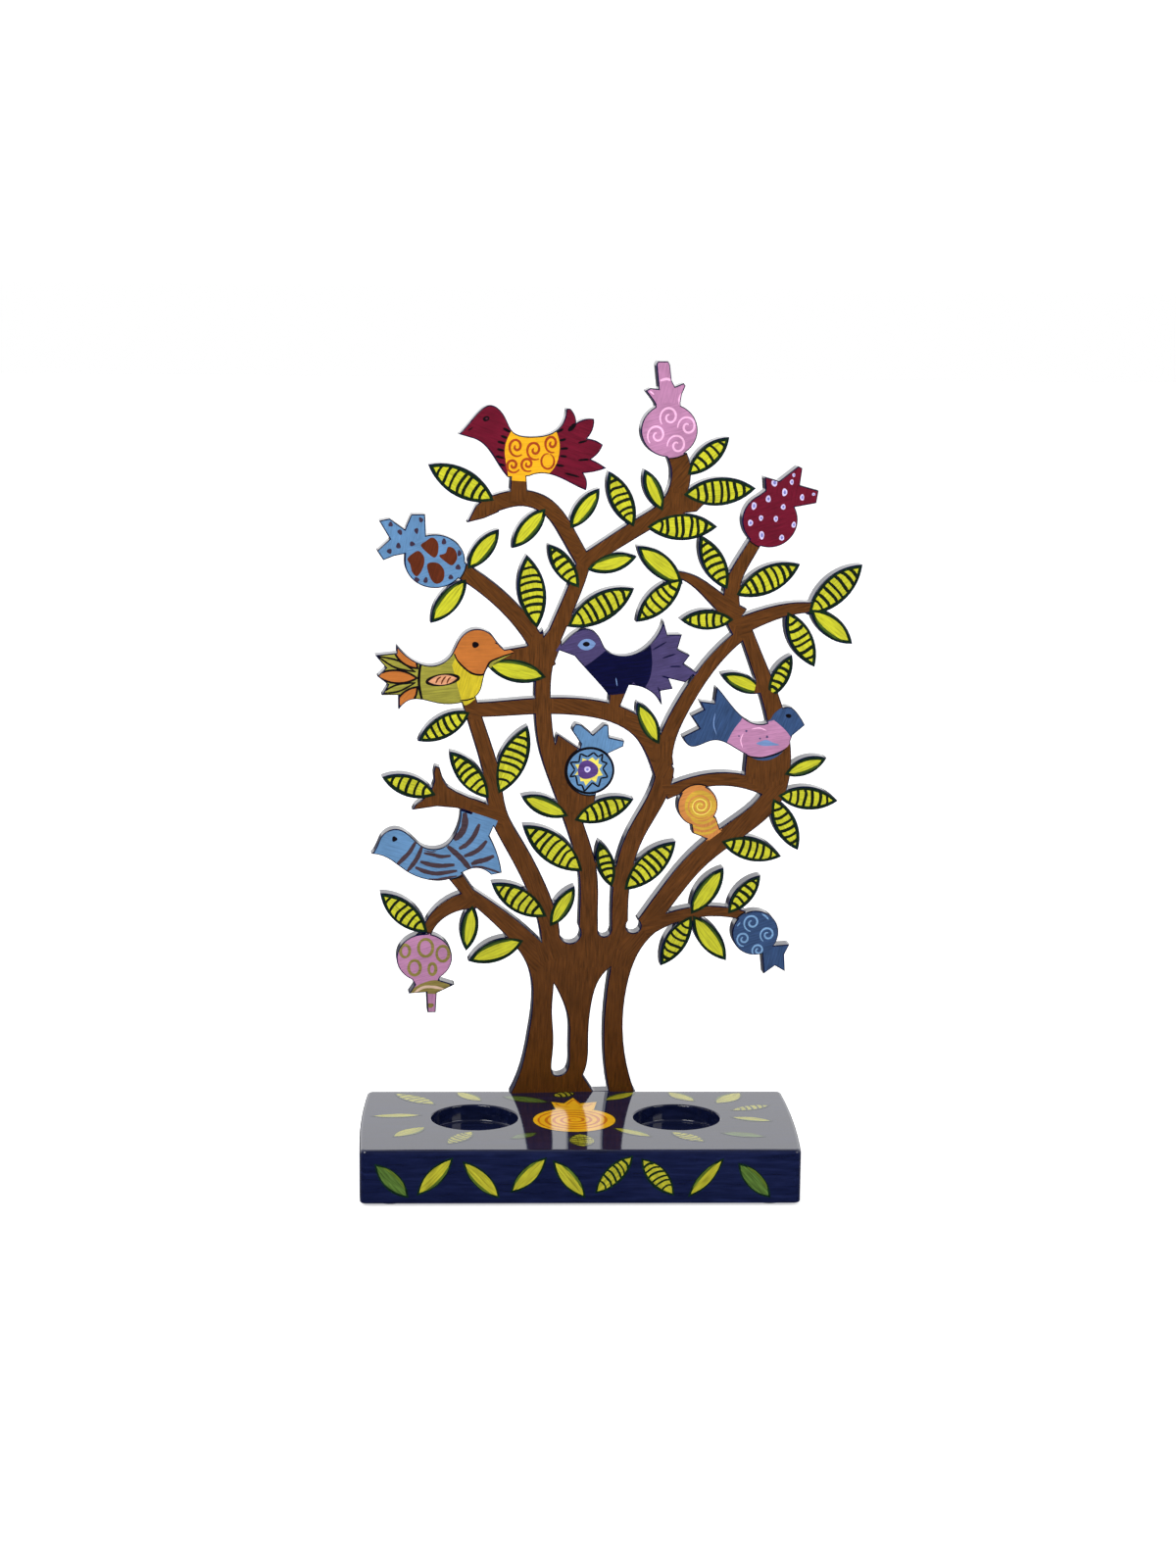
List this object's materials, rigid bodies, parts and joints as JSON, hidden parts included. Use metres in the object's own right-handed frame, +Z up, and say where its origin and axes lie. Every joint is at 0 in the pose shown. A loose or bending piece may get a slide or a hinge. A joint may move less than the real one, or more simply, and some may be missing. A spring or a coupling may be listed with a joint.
{
  "type": "tree-shaped tealight candle holder",
  "caption": "Painted wooden tealight holder: a sawn tree board with leaves, birds and pomegranates stands behind a block base with two wells.",
  "frame": {"origin": "on the resting surface, at the middle of the whole holder's bounding box", "axes": "+Z up the tree, +X to the viewer's right, -Y towards the viewer, from the board towards the wells"},
  "size_m": [0.2364, 0.1132, 0.3775],
  "materials": {
    "painted_block": "hand painted navy with yellow-green leaves, gloss varnish",
    "painted_board": "hand painted brown tree with coloured leaves, birds and fruit over a navy ground, gloss varnish",
    "screw_zinc": "zinc plated, slightly dull",
    "pad_felt": "dark pressed felt"
  },
  "bodies": {
    "root": {"base_block": "painted_block", "tree_plate": "painted_board", "screw_left": "screw_zinc", "screw_centre": "screw_zinc", "screw_right": "screw_zinc", "foot_front_left": "pad_felt", "foot_front_right": "pad_felt", "foot_back_left": "pad_felt", "foot_back_right": "pad_felt"}
  },
  "joints": []
}
